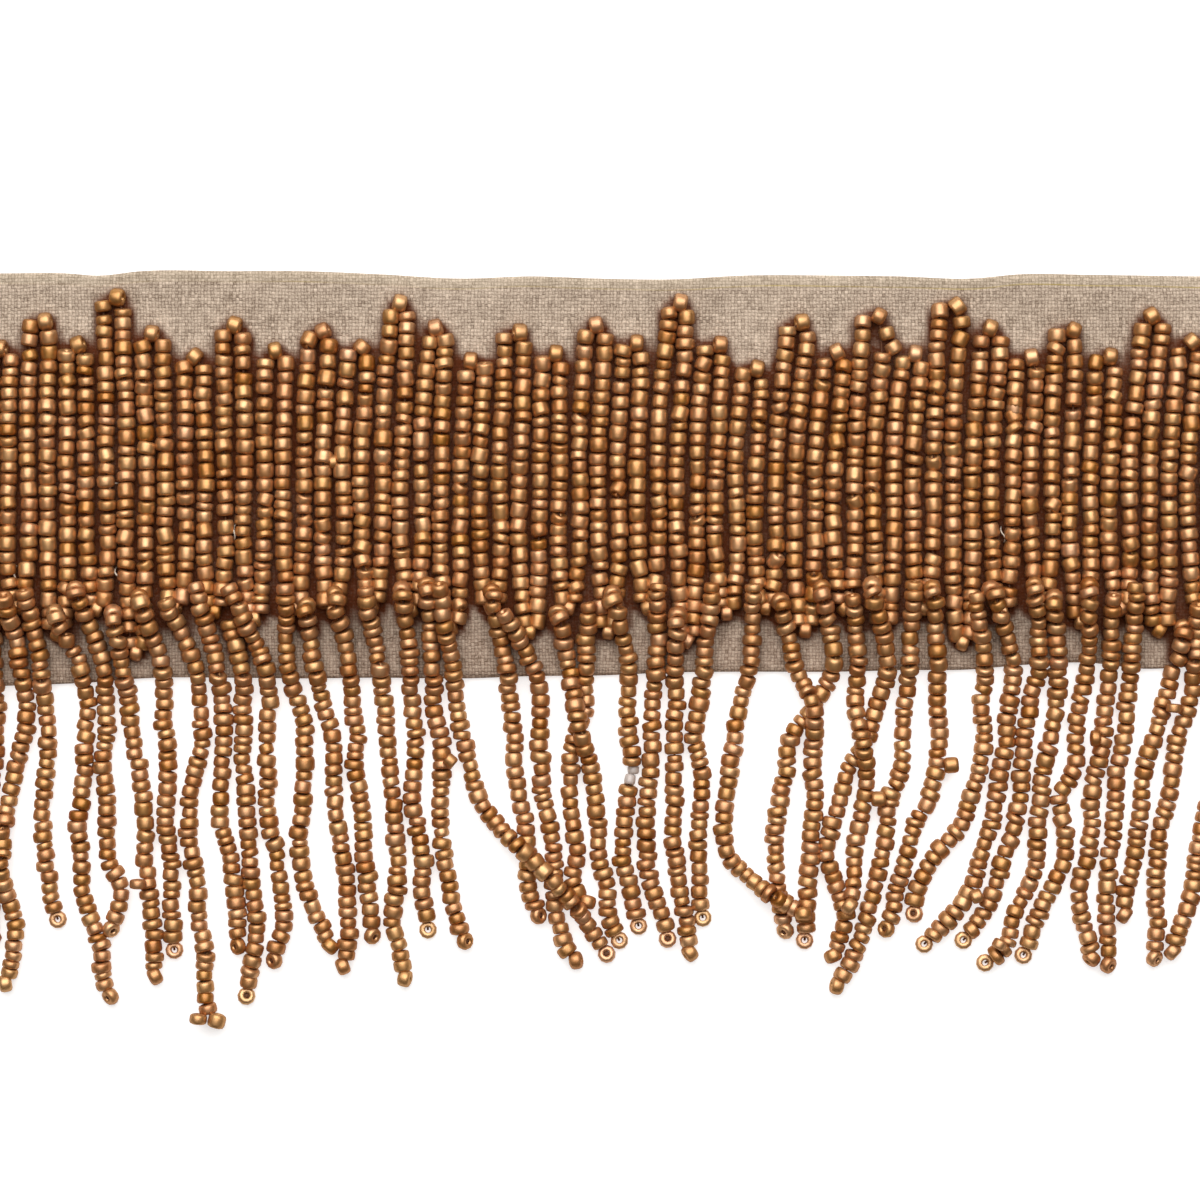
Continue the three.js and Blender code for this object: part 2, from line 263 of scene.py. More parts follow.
class Value:
    """A number or colour inside a material, so that its pattern reads as sums."""

    def __init__(self, tree, socket):
        self.tree = tree
        self.socket = socket

    def node(self, kind, settings=None, inputs=None, output=0):
        made = self.tree.nodes.new(kind)
        for name, setting in (settings or {}).items():
            setattr(made, name, setting)
        for name, given in (inputs or {}).items():
            if isinstance(given, Value):
                self.tree.links.new(given.socket, made.inputs[name])
            else:
                made.inputs[name].default_value = given
        return Value(self.tree, made.outputs[output])

    def maths(self, operation, *others):
        return self.node("ShaderNodeMath", {"operation": operation}, dict(enumerate(others)))

    def __add__(self, other):
        return self.maths("ADD", self, other)

    __radd__ = __add__

    def __sub__(self, other):
        return self.maths("SUBTRACT", self, other)

    def __rsub__(self, other):
        return self.maths("SUBTRACT", other, self)

    def __mul__(self, other):
        return self.maths("MULTIPLY", self, other)

    __rmul__ = __mul__

    def __truediv__(self, other):
        return self.maths("DIVIDE", self, other)

    def sine(self):
        return self.maths("SINE", self)

    def floor(self):
        return self.maths("FLOOR", self)

    def fraction(self):
        return self.maths("FRACT", self)

    def distance_from(self, other):
        return self.maths("ABSOLUTE", self - other)

    def clamped(self, low, high):
        return self.maths("MINIMUM", self.maths("MAXIMUM", self, low), high)

    def between(self, first, second):
        """This value as a share, mixing two colours."""
        settings = {"data_type": "RGBA"}
        return self.node("ShaderNodeMix", settings, {0: self, 6: first, 7: second}, output=2)

    def noise(self, place, scale, detail=2):
        inputs = {"Vector": place, "Scale": scale, "Detail": detail}
        return self.node("ShaderNodeTexNoise", None, inputs)

    def attribute(self, name):
        """A number that the piece's mesh carries at its points."""
        return self.node("ShaderNodeAttribute", {"attribute_name": name}, None, "Fac")

    def point(self, x, y, z=0):
        return self.node("ShaderNodeCombineXYZ", None, {"X": x, "Y": y, "Z": z})


def new_material(name, roughness, metallic=0):
    """A fresh material, its shader, and the object coordinates that its pattern starts from."""
    material = bpy.data.materials.new(name)
    material.use_nodes = True
    tree = material.node_tree
    shader = tree.nodes["Principled BSDF"]
    shader.inputs["Roughness"].default_value = roughness
    shader.inputs["Metallic"].default_value = metallic
    coordinates = tree.nodes.new("ShaderNodeTexCoord")
    place = Value(tree, coordinates.outputs["Object"])
    return material, shader, place


def split(place):
    """The x and y of a place, each as a value."""
    parts = place.tree.nodes.new("ShaderNodeSeparateXYZ")
    place.tree.links.new(place.socket, parts.inputs[0])
    return [Value(place.tree, parts.outputs[side]) for side in "XY"]


def drive(value, shader, socket):
    value.tree.links.new(value.socket, shader.inputs[socket])


# How far down from the top edge every point of the cloth lies, in millimetres
cloth_points = np.array([v.co for v in linen_band.data.vertices])
from_top = (top_edge(cloth_points[:, 0]) - cloth_points[:, 1]) / MM
depth_mark = linen_band.data.attributes.new("from_top", "FLOAT", "POINT")
depth_mark.data.foreach_set("value", from_top.astype(np.float32))

DARK_FIBRE = (0.185, 0.133, 0.094, 1)
LIGHT_FIBRE = (0.69, 0.56, 0.44, 1)
PRESSED_FOLD = (0.47, 0.4, 0.28, 1)
HEM_YELLOW = (0.42, 0.32, 0.09, 1)
PAINTED_SHADE_COLOUR = (0.085, 0.016, 0.001, 1)
LINEN_ROUGHNESS = 0.88
LINEN_SHEEN = 0.03
LINEN_SHINE = 0.1
WEAVE_BUMP = 0.5
WEAVE_DEPTH = 0.12 * MM

# The weave: how far its threads wander, counted in threads, how much each dips before it goes
# under the next, and the pace of its slubs along the thread
THREAD_PITCH = 0.43 * MM
WARP_WANDER = 1.1
WEFT_WANDER = 0.9
DRIFT = 1.6
CROSSING_DIP = 0.4
SLUB_PACE = 0.09

# Sizes of the noise patterns: how many of each there are in a metre, and slubs in a thread
WANDERS = 420
DRIFTS = 90
FIBRES = 3800
PATCHES = 60
SLUBS = 1.7

# How light the cloth is, and how much each pattern adds to it
MIDDLE_TONE = 0.17
WEAVE_SHADE = 0.48
SLUB_SHADE = 1.25
FIBRE_SHADE = 1.1
PATCH_SHADE = 0.35

# The heading's pale fold and, 1.5 mm below its edge, the line of yellow thread, which wanders,
# is hidden in places and shows more towards the right
FOLD_REACH = 0.2
FOLD_SHADE = 1.2
HEM_DEPTH = 1.5
HEM_THREAD = 0.14
HEM_WANDER = 0.5
HEM_STRENGTH = 0.9
HEM_CONTRAST = 1.8
HEM_TO_THE_RIGHT = 6
HEM_LEAST = 0.1

# Painted shade and painted bronze reflection under the beads, and how unevenly the fibres show it
PAINTED_SHADE_STRENGTH = 0.95
DEEPEST_PAINTED_SHADE = 0.98
PAINTED_SHADE_PATCHES = 0.4
PAINTED_SHADE_FIBRES = 0.5


def linen_finish():
    """Unbleached plain weave: slubby threads over and under, light and dark fibres mixed.

    A line of yellow thread holds the fold along the heading. A dark red brown is painted on the
    cloth as shade and reflected bronze under the beads, and as a little shade on the lower
    margin.
    """
    material, shader, place = new_material("natural_linen", LINEN_ROUGHNESS)
    x, y = split(place)
    wander = place.noise(place, WANDERS, 3) - 0.5
    drift = place.noise(place, DRIFTS) - 0.5
    across = x / THREAD_PITCH + wander * WARP_WANDER + drift * DRIFT
    up = y / THREAD_PITCH + wander * WEFT_WANDER - drift * DRIFT
    over = ((across.floor() + up.floor()) * 0.5).fraction() * 2
    warp_round = (across.fraction() * math.pi).sine()
    weft_round = (up.fraction() * math.pi).sine()
    warp_height = warp_round * (1 - CROSSING_DIP + CROSSING_DIP * weft_round)
    weft_height = weft_round * (1 - CROSSING_DIP + CROSSING_DIP * warp_round)
    height = over * warp_height + (1 - over) * weft_height
    warp_slub = place.noise(place.point(across.floor(), up * SLUB_PACE), SLUBS, 1)
    weft_slub = place.noise(place.point(across * SLUB_PACE, up.floor(), 7), SLUBS, 1)
    slub = over * warp_slub + (1 - over) * weft_slub
    fibre = place.noise(place, FIBRES, 2)
    patch = place.noise(place, PATCHES, 3)
    weave = WEAVE_SHADE * height + SLUB_SHADE * (slub - 0.5) + FIBRE_SHADE * (fibre - 0.5)
    tone = (MIDDLE_TONE + weave + PATCH_SHADE * (patch - 0.5)).clamped(0, 1)
    colour = tone.between(DARK_FIBRE, LIGHT_FIBRE)

    depth = place.attribute("from_top")
    fold = (HEM_DEPTH - depth).clamped(0, FOLD_REACH) * FOLD_SHADE
    colour = fold.between(colour, PRESSED_FOLD)
    shown = HEM_CONTRAST * place.noise(place.point(x, 0), PATCHES, 2) - 0.5
    shown = (shown + HEM_TO_THE_RIGHT * x).clamped(HEM_LEAST, 1)
    gap = depth.distance_from(HEM_DEPTH + HEM_WANDER * drift)
    hem_thread = (1 - gap / HEM_THREAD).clamped(0, 1) * shown
    colour = (HEM_STRENGTH * hem_thread).between(colour, HEM_YELLOW)

    # Painted shade, tinted by reflected bronze, where the cloth lies under and between the beads
    shade_depth = PAINTED_SHADE_STRENGTH + PAINTED_SHADE_PATCHES * (patch - 0.5) + PAINTED_SHADE_FIBRES * (fibre - 0.5)
    painted_shade = (place.attribute("painted_shade") * shade_depth).clamped(0, DEEPEST_PAINTED_SHADE)
    colour = painted_shade.between(colour, PAINTED_SHADE_COLOUR)
    drive(colour, shader, "Base Color")
    relief = height + slub + fibre
    bump_inputs = {"Strength": WEAVE_BUMP, "Distance": WEAVE_DEPTH, "Height": relief}
    drive(place.node("ShaderNodeBump", None, bump_inputs), shader, "Normal")
    # Rough fibres have hardly any shine
    shader.inputs["Sheen Weight"].default_value = LINEN_SHEEN
    shader.inputs["Specular IOR Level"].default_value = LINEN_SHINE
    return material


linen_band.data.materials.append(linen_finish())
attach(linen_band, "root")
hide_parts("linen_band")

# Ladder stitches that draw the two turned edges together down the back: a short straight
# thread from one edge to the other every few millimetres
STITCH_SPACING = 3.5 * MM
STITCH_THREAD = 0.13 * MM
STITCH_BITE = 0.6 * MM
STITCH_SKEW = 0.4
STITCH_CREASE = math.radians(70)
FIRST_STITCH = 2 * MM
LAST_STITCH = 1 * MM

bpy.ops.object.select_all(action="DESELECT")
bpy.ops.mesh.primitive_cylinder_add(
    vertices=6, radius=STITCH_THREAD, depth=SEAM_GAP + STITCH_BITE, location=(0, SEAM_Y, 0),
    rotation=(math.pi / 2, 0, 0)
)
master_stitch = bpy.context.object
bpy.ops.object.transform_apply(location=True, rotation=True)
bpy.ops.object.shade_smooth_by_angle(angle=STITCH_CREASE)
stitches = bpy.data.objects.new("seam_stitches", bpy.data.meshes.new("seam_stitches"))
scene.collection.objects.link(stitches)
stitch_mesh = bmesh.new()
for spot in np.arange(FIRST_STITCH - HALF_LENGTH, HALF_LENGTH - LAST_STITCH, STITCH_SPACING):
    before = len(stitch_mesh.verts)
    stitch_mesh.from_mesh(master_stitch.data)
    stitch_mesh.verts.ensure_lookup_table()
    for vertex in stitch_mesh.verts[before:]:
        vertex.co.x += spot + STITCH_SKEW * (vertex.co.y - SEAM_Y)
        vertex.co.z += LIFT + STITCH_THREAD
stitch_mesh.to_mesh(stitches.data)
stitch_mesh.free()
bpy.data.objects.remove(master_stitch)

THREAD_ROUGHNESS = 0.7
THREAD_FIBRES = 5000
THREAD_BUMP = 0.3
THREAD_DEPTH = 0.05 * MM
PALE_SHADES = [(0.3, 0.25, 0.19, 1), (0.7, 0.63, 0.54, 1)]


def thread_finish(name, dark, light):
    """Spun sewing thread: fine fibres in two shades of its colour."""
    material, shader, place = new_material(name, THREAD_ROUGHNESS)
    fibres = place.noise(place, THREAD_FIBRES, 2)
    drive((2 * fibres - 0.5).clamped(0, 1).between(dark, light), shader, "Base Color")
    bump_inputs = {"Strength": THREAD_BUMP, "Distance": THREAD_DEPTH, "Height": fibres}
    drive(place.node("ShaderNodeBump", None, bump_inputs), shader, "Normal")
    return material


pale_thread = thread_finish("pale_thread", *PALE_SHADES)
stitches.data.materials.append(pale_thread)
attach(stitches, "root")


# Seed beads
# Round glass beads with a satin bronze coat, drilled through and tumbled, so that their rims
# are soft. No two are quite alike in length, width or colour.
BEAD_RADIUS = 1.13 * MM
BEAD_LENGTH = 1.4 * MM
HOLE_RADIUS = 0.42 * MM
MOUTH_DISH = 0.86
CRISP_RIM = 0.24 * MM
TUMBLED_RIM = 0.42 * MM
RIM_STEPS = 2
BELT_WEIGHT = 80
BEAD_SIDES = 10
ROUNDING = 1e-6
END_FACE = 0.99


def turned_bead(rim):
    """One bead on the Z axis: a cylinder with softened rims and a hole right through."""
    bpy.ops.mesh.primitive_cylinder_add(
        vertices=BEAD_SIDES, radius=BEAD_RADIUS, depth=BEAD_LENGTH, location=(0, 0, 0)
    )
    bead = bpy.context.object
    bpy.ops.object.mode_set(mode="EDIT")
    bpy.ops.mesh.select_mode(type="EDGE")
    shape = bmesh.from_edit_mesh(bead.data)
    for edge in shape.edges:
        level = all(abs(abs(v.co.z) - BEAD_LENGTH / 2) < ROUNDING for v in edge.verts)
        same_end = edge.verts[0].co.z * edge.verts[1].co.z > 0
        edge.select = level and same_end
    bmesh.update_edit_mesh(bead.data)
    bpy.ops.mesh.bevel(offset=rim, segments=RIM_STEPS, affect="EDGES")
    bpy.ops.mesh.select_mode(type="FACE")
    bpy.ops.mesh.select_all(action="DESELECT")
    shape = bmesh.from_edit_mesh(bead.data)
    for face in shape.faces:
        face.select = abs(face.normal.z) > END_FACE
    bmesh.update_edit_mesh(bead.data)
    bpy.ops.mesh.inset(thickness=BEAD_RADIUS - rim - HOLE_RADIUS, use_individual=True)
    bpy.ops.transform.resize(value=(1, 1, MOUTH_DISH))
    bpy.ops.mesh.bridge_edge_loops()
    bpy.ops.object.mode_set(mode="OBJECT")
    bpy.ops.object.shade_smooth()
    return bead


def bead_form(rim, evenly_shaded):
    """A bead's points, faces and the direction that its surface is shaded to face."""
    bead = turned_bead(rim)
    if not evenly_shaded:
        flat_belt = bead.modifiers.new("flat_belt", "WEIGHTED_NORMAL")
        flat_belt.weight = BELT_WEIGHT
        bpy.ops.object.modifier_apply(modifier=flat_belt.name)
    points = np.array([v.co for v in bead.data.vertices])
    faces = np.array([list(p.vertices) for p in bead.data.polygons])
    normals = np.zeros_like(points)
    for loop in bead.data.loops:
        normals[loop.vertex_index] = bead.data.corner_normals[loop.index].vector
    bpy.data.objects.remove(bead)
    return points, faces, normals


# Some beads are crisp like a cut of tube and some have tumbled to a barrel. Both masters have
# the same faces, so every bead is a mixture of the two.
crisp_points, bead_faces, crisp_normals = bead_form(CRISP_RIM, evenly_shaded=False)
barrel_points, bead_faces, barrel_normals = bead_form(TUMBLED_RIM, evenly_shaded=True)


def string_of_beads(name, beads):
    """Copies of the bead, joined in one piece. Each row of beads is a dict of its place."""
    points, faces, normals = [], [], []
    for number, bead in enumerate(beads):
        axis = Vector(bead["axis"]).normalized()
        turn = axis.to_track_quat("Z", "Y").to_matrix() @ Matrix.Rotation(bead["roll"], 3, "Z")
        width = bead["radius"] / BEAD_RADIUS
        sizes = np.array([width, width * bead["oval"], bead["length"] / BEAD_LENGTH])
        form = crisp_points + bead["barrel"] * (barrel_points - crisp_points)
        points.append((form * sizes) @ np.array(turn).T + np.array(bead["place"]))
        faces.append(bead_faces + number * len(form))
        shading = crisp_normals + bead["barrel"] * (barrel_normals - crisp_normals)
        normals.append((shading / sizes) @ np.array(turn).T)
    mesh = bpy.data.meshes.new(name)
    mesh.from_pydata(np.concatenate(points).tolist(), [], np.concatenate(faces).tolist())
    mesh.shade_smooth()
    normals = np.concatenate(normals)
    normals /= np.linalg.norm(normals, axis=1, keepdims=True)
    mesh.normals_split_custom_set_from_vertices(normals.tolist())
    for label in ("tone", "gilt", "bare"):
        numbers = np.repeat([bead[label] for bead in beads], len(crisp_points))
        attribute = mesh.attributes.new(label, "FLOAT", "POINT")
        attribute.data.foreach_set("value", numbers.astype(np.float32))
    piece = bpy.data.objects.new(name, mesh)
    scene.collection.objects.link(piece)
    return piece


DARK_RED_COAT = (0.45, 0.178, 0.042, 1)
LIGHT_RED_COAT = (0.72, 0.415, 0.235, 1)
DARK_GOLD_COAT = (0.45, 0.198, 0.037, 1)
LIGHT_GOLD_COAT = (0.72, 0.445, 0.215, 1)
BARE_GLASS = (0.5, 0.45, 0.42, 1)

# The coat is metal under a thin clear layer, and goes dark red towards a bead's edges
BRONZE_SHINE = {
    "Specular Tint": (0.1, 0.02, 0, 1),
    "Coat Weight": 0.25,
    "Coat Roughness": 0.3,
    "Coat IOR": 1.8,
    "Coat Tint": (1, 0.95, 0.92, 1),
}
COATED_METAL = 0.9
METAL_WORN_OFF = 0.75
SMOOTHEST = 0.4
ROUGHER_PATCHES = 0.2
MOTTLING = 0.7
PIT_BUMP = 0.2
PIT_DEPTH = 0.08 * MM

# Sizes of the coat's noise patterns: how many of each there are in a metre
MOTTLES = 1100
GLOSS_PATCHES = 1500
PITS = 1700


def bead_finish():
    """Satin bronze coat on glass, some beads redder or more golden, mottled in tiny specks.

    Every bead carries its own tone, from dark to light, how golden it is and how much of its
    coat is missing.
    """
    material, shader, place = new_material("bronze_coat", SMOOTHEST, COATED_METAL)
    for socket, setting in BRONZE_SHINE.items():
        shader.inputs[socket].default_value = setting
    tone = place.attribute("tone")
    gilt = place.attribute("gilt")
    bare = place.attribute("bare")
    mottle = place.noise(place, MOTTLES, 3)
    shade = (tone + MOTTLING * (mottle - 0.5)).clamped(0, 1)
    red_coat = shade.between(DARK_RED_COAT, LIGHT_RED_COAT)
    gold_coat = shade.between(DARK_GOLD_COAT, LIGHT_GOLD_COAT)
    coat = gilt.clamped(0, 1).between(red_coat, gold_coat)
    colour = bare.between(coat, BARE_GLASS)
    drive(colour, shader, "Base Color")
    gloss = place.noise(place, GLOSS_PATCHES, 2)
    drive(SMOOTHEST + ROUGHER_PATCHES * gloss, shader, "Roughness")
    drive(COATED_METAL - METAL_WORN_OFF * bare, shader, "Metallic")
    pits = place.noise(place, PITS, 3)
    bump_inputs = {"Strength": PIT_BUMP, "Distance": PIT_DEPTH, "Height": pits}
    drive(place.node("ShaderNodeBump", None, bump_inputs), shader, "Normal")
    return material


bronze = bead_finish()


# Bead field
# One long thread of beads runs up and down the linen, turning over a single bead at the head
# and at the foot of each column, and is couched down between beads. The tops step up and down
# in a repeat of seven pairs.
COLUMN_PITCH = 2.622
FIRST_COLUMN = -86.7
REPEAT = 7
GROUPS = 5
EVEN_FROM_Y, EVEN_TO_Y = 26, 12
TURN_REACH = 2.15
MOST_SIDEWAYS = 0.95
FOOT_REACH = 1.33
FOOT_SPREAD = 0.45
FIRST_FOOT_Y = 6
HEAD_BEAD = {"radius": 1.22, "length": 1.8}
FOOT_BEAD = {"radius": 1.12, "length": 1.6}
LINK_BEAD = {"radius": 1.15, "length": 1.75}

# Pairs of columns: left and right column's x at their tops, turning bead x and y, and the y
# of the turning bead that joins the pair's foot to the next pair
COLUMN_PAIRS = [
    (-86.4, -83.7, -85.1, 43.2, 5.2),
    (-81.2, -78.5, -79.9, 40, 5.6),
    (-76, -73.5, -73.9, 43.6, 2.0),
    (-71.1, -68.7, -69.5, 40.5, 5.3),
    (-66.1, -63.5, -64.3, 46.8, -0.5),
    (-60.9, -58.3, -59.7, 42, 5.6),
    (-55.5, -52.8, -54, 38.9, 5.0),
    (-50.3, -47.5, -48.7, 43.1, 4.0),
    (-44.5, -42, -43.3, 39.7, 5.4),
    (-38.7, -36.1, -36.9, 42.3, 5.1),
    (-33.6, -31.1, -31.7, 40.1, 5.6),
    (-27.9, -25.5, -26.7, 46, 5.2),
    (-22.9, -20.5, -21.9, 42.7, 2.8),
    (-17.9, -15.3, -17.2, 38.3, 5.5),
    (-12.7, -10, -10.7, 42.1, 2.3),
    (-7.6, -5.2, -5.9, 39.3, 5.4),
    (-2, 0.6, -0.5, 43.1, 2.3),
    (3, 5.4, 4.9, 40.7, 5.5),
    (9.1, 11.6, 10.7, 46.1, 1.1),
    (14, 16.4, 16, 40.5, 4.8),
    (18.9, 21.5, 20.9, 37.3, 5.5),
    (25.1, 27.7, 26.9, 43.5, 2.5),
    (30, 32.6, 31.6, 39.5, 5.4),
    (35.2, 37.8, 37.2, 44.3, 2.8),
    (40.4, 42.8, 42, 39.3, 5.5),
    (45.3, 48, 47.6, 45.6, 0.8),
    (50.8, 53.2, 52, 42.7, 4.9),
    (55.6, 58, 57.5, 38.8, 5.5),
    (60.8, 63.4, 63.1, 42.4, 3.6),
    (66, 68.6, 68, 38.9, 5.4),
    (72.3, 74.8, 73.5, 44.3, 2.5),
    (77.2, 79.6, 78.9, 40.9, 5.4),
    (82, 84.4, 83.2, 43.2, 5.4),
]

# Columns whose first bead stands off its turning bead: column, x, y. Two link beads lead the
# thread across to the second of them: x, y, direction in degrees
LOOSE_STARTS = {47: (37.5, 38.8), 48: (40.3, 38.1)}
LINK_BEADS = [(38.2, 42, -75), (39.1, 40.1, -60)]

# How the beads of the string differ: between two limits, or about a mean by a spread
OVALS = (0.94, 1.06)
BARRELS = (0.35, 0.95)
TONES = (0.47, 0.17)
GILTS = (0.5, 0.3)

chance = random.Random(11)


def varied(mean, spread, least, most):
    """A size that differs from bead to bead, within its limits."""
    return min(max(chance.gauss(mean, spread), least), most)


def bead_at(place, axis, radius, length, tone=None, bare=0):
    """One bead's row, with its small differences from the next."""
    return {
        "place": Vector(place) * MM,
        "axis": axis,
        "radius": radius * MM,
        "length": length * MM,
        "oval": chance.uniform(*OVALS),
        "roll": chance.uniform(0, math.pi),
        "barrel": chance.uniform(*BARRELS),
        "tone": chance.gauss(*TONES) if tone is None else tone,
        "gilt": chance.gauss(*GILTS),
        "bare": bare,
    }


# Shares of the beads that are long, that leave a wide gap and that stand tilted
LONG_BEADS = 0.04
WIDE_GAPS = 0.05
TILTED_BEADS = 0.07

# Their lengths and gaps in millimetres, and how far beads tilt and stand off the line
LONG_BEAD_LENGTHS = (2, 2.3)
WIDE_GAP_SIZES = (0.25, 0.5)
GAP_SIZES = (0.04, 0.12)
TILTED = 0.32
NEARLY_STRAIGHT = 0.12
OFF_LINE = 0.05


def column_length():
    """Most beads are a little shorter than they are wide, and a few are long."""
    if chance.random() < LONG_BEADS:
        return chance.uniform(*LONG_BEAD_LENGTHS)
    return varied(mean=1.6, spread=0.26, least=1, most=2.1)


def column_gap():
    """Beads nearly touch, but here and there the thread shows between them."""
    if chance.random() < WIDE_GAPS:
        return chance.uniform(*WIDE_GAP_SIZES)
    return chance.uniform(*GAP_SIZES)


FACE = BAND_FACE / MM
LARGEST_OVERRUN = 0.9
SWAY = 0.1
SWAY_LENGTH = 4


def fill_column(start, end, even_x):
    """Beads from a column's first place down to its foot, touching end to end."""
    start_x, start_y = start
    end_x, end_y = end
    line = smooth_line([end_y, EVEN_TO_Y, EVEN_FROM_Y, start_y], [end_x, even_x, even_x, start_x])
    lengths = [column_length()]
    drops = [0]
    while drops[-1] < start_y - end_y:
        lengths.append(column_length())
        drops.append(drops[-1] + sum(lengths[-2:]) / 2 + column_gap())
    if drops[-1] - (start_y - end_y) > LARGEST_OVERRUN:
        drops.pop()
        lengths.pop()
    fit = (start_y - end_y) / drops[-1]
    phase = chance.uniform(0, 2 * math.pi)
    beads = []
    for drop, length in zip(drops, lengths):
        y = start_y - fit * drop
        radius = varied(mean=1.18, spread=0.05, least=1.06, most=1.28)
        sway = SWAY * math.sin(y / SWAY_LENGTH + phase)
        x = float(line(y)) + sway + chance.gauss(0, OFF_LINE)
        turned = TILTED if chance.random() < TILTED_BEADS else NEARLY_STRAIGHT
        lean = float(line(y + 0.5) - line(y - 0.5)) + chance.gauss(0, turned)
        axis = (lean, 1, chance.gauss(0, turned))
        beads.append(bead_at((x, y, FACE + radius), axis, radius, fit * length))
    return beads


def across_axis():
    """The hole of a bead that joins two columns runs roughly across them."""
    return (1, chance.gauss(0, 0.4), chance.gauss(0.05, 0.1))


column_repeats = [[] for group in range(GROUPS)]
field_line = []
for number, (left, right, turn_x, turn_y, foot_y) in enumerate(COLUMN_PAIRS):
    turn_bead = bead_at((turn_x, turn_y, FACE + 1.2), across_axis(), **HEAD_BEAD)
    sides = []
    for side, top_x in enumerate((left, right)):
        column = 2 * number + side
        even_x = FIRST_COLUMN + column * COLUMN_PITCH
        sideways = min(abs(top_x - turn_x), MOST_SIDEWAYS * TURN_REACH)
        start = (top_x, turn_y - math.sqrt(TURN_REACH**2 - sideways**2))
        start = LOOSE_STARTS.get(column, start)
        last_foot_y = COLUMN_PAIRS[number - 1][-1] if number else FIRST_FOOT_Y
        if side:
            end = (even_x + FOOT_SPREAD, foot_y + FOOT_REACH)
        else:
            end = (even_x - FOOT_SPREAD, last_foot_y + FOOT_REACH)
        sides.append(fill_column(start, end, even_x))
    left_column, right_column = sides
    pair = left_column[::-1] + [turn_bead] + right_column
    if number < len(COLUMN_PAIRS) - 1:
        middle = even_x + COLUMN_PITCH / 2
        pair.append(bead_at((middle, foot_y, FACE + 1.1), across_axis(), **FOOT_BEAD))
    column_repeats[number // REPEAT] += pair
    field_line += [bead["place"].copy() for bead in pair]

for x, y, direction in LINK_BEADS:
    angle = math.radians(direction)
    link_axis = (math.cos(angle), math.sin(angle), 0)
    column_repeats[3].append(bead_at((x, y, FACE + 1.17), link_axis, **LINK_BEAD))

# A spare bead caught sideways between two columns, and one bead whose coat has gone grey
column_repeats[1].append(
    bead_at((-35.5, 24.9, FACE + 1.3), axis=(1, 0.15, 0), radius=0.95, length=1.1)
)
column_repeats[3].append(
    bead_at((55.2, 31.9, FACE + 1.1), axis=(0, 1, 0), radius=1.1, length=1.5, tone=0.1, bare=0.2)
)

for number, beads in enumerate(column_repeats, 1):
    piece = string_of_beads(f"bead_columns_{number}", beads)
    piece.data.materials.append(bronze)
    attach(piece, "root")
    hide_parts("bead_columns")


def thread_piece(name, lines, thickness, material):
    """Thread laid along each line of points, as one mesh."""
    path = bpy.data.curves.new(name, "CURVE")
    path.dimensions = "3D"
    path.bevel_depth = thickness / 2
    path.bevel_resolution = 0
    path.use_fill_caps = True
    for line in lines:
        spline = path.splines.new("POLY")
        spline.points.add(len(line) - 1)
        for point, place in zip(spline.points, line):
            point.co = (*place, 1)
    thread = bpy.data.objects.new(name, path)
    scene.collection.objects.link(thread)
    bpy.ops.object.select_all(action="DESELECT")
    thread.select_set(True)
    bpy.context.view_layer.objects.active = thread
    bpy.ops.object.convert(target="MESH")
    thread = bpy.context.object
    bpy.ops.object.mode_set(mode="EDIT")
    bpy.ops.mesh.select_all(action="SELECT")
    bpy.ops.mesh.remove_doubles(threshold=0.001 * MM)
    bpy.ops.mesh.normals_make_consistent(inside=False)
    bpy.ops.object.mode_set(mode="OBJECT")
    thread.data.materials.clear()
    thread.data.materials.append(material)
    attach(thread, "root")
    return thread


# Ends of the couching thread that stand up between the columns: x, y, direction in degrees,
# length. Each is a low arch with a slight curl
ARCH_STEPS = 9
ARCH_FOOT = 0.2
ARCH_RISE = 1.3
ARCH_CURL = 0.25
CURL_TURN = 6
BEAD_THREAD = 0.3 * MM
COUCHING_THREAD = 0.24 * MM
KNOT = 0.8 * MM
THREAD_ENDS = [
    (-48.7, 15.5, 75, 2.6),
    (-65.1, 21.6, 20, 2.2),
    (-78, 9.9, 80, 2.4),
    (-64.3, 9.8, 100, 2.2),
    (-2, 13.9, 60, 2.4),
    (53.7, 15.2, 95, 2.2),
    (18.9, 12.2, 70, 2),
]

WAXED_SHADES = [(0.06, 0.017, 0.004, 1), (0.14, 0.05, 0.015, 1)]

waxed_thread = thread_finish("waxed_thread", *WAXED_SHADES)
field_thread = thread_piece("field_thread", [field_line], BEAD_THREAD, waxed_thread)
loops = []
for x, y, direction, length in THREAD_ENDS:
    angle = math.radians(direction)
    loop = []
    for share in np.linspace(-0.5, 0.5, ARCH_STEPS):
        rise = ARCH_FOOT + ARCH_RISE * (1 - 4 * share**2)
        side = ARCH_CURL * math.sin(CURL_TURN * share)
        reach = share * length
        loop_x = x + reach * math.cos(angle) - side * math.sin(angle)
        loop_y = y + reach * math.sin(angle) + side * math.cos(angle)
        loop.append(Vector((loop_x, loop_y, FACE + rise)) * MM)
    loops.append(loop)
couching_thread = thread_piece("couching_thread", loops, COUCHING_THREAD, pale_thread)


# Fringe
# Each strand is a thread of beads that comes up out of the linen among the columns' feet, runs
# down over the lower margin and ends in a stopper bead turned across the thread. The strands
# lie loose on the surface and over one another.
STRAND_DEPTHS = (-4, -8, -12, -16, -20, -24, -28, -32, -36, -40, -44)

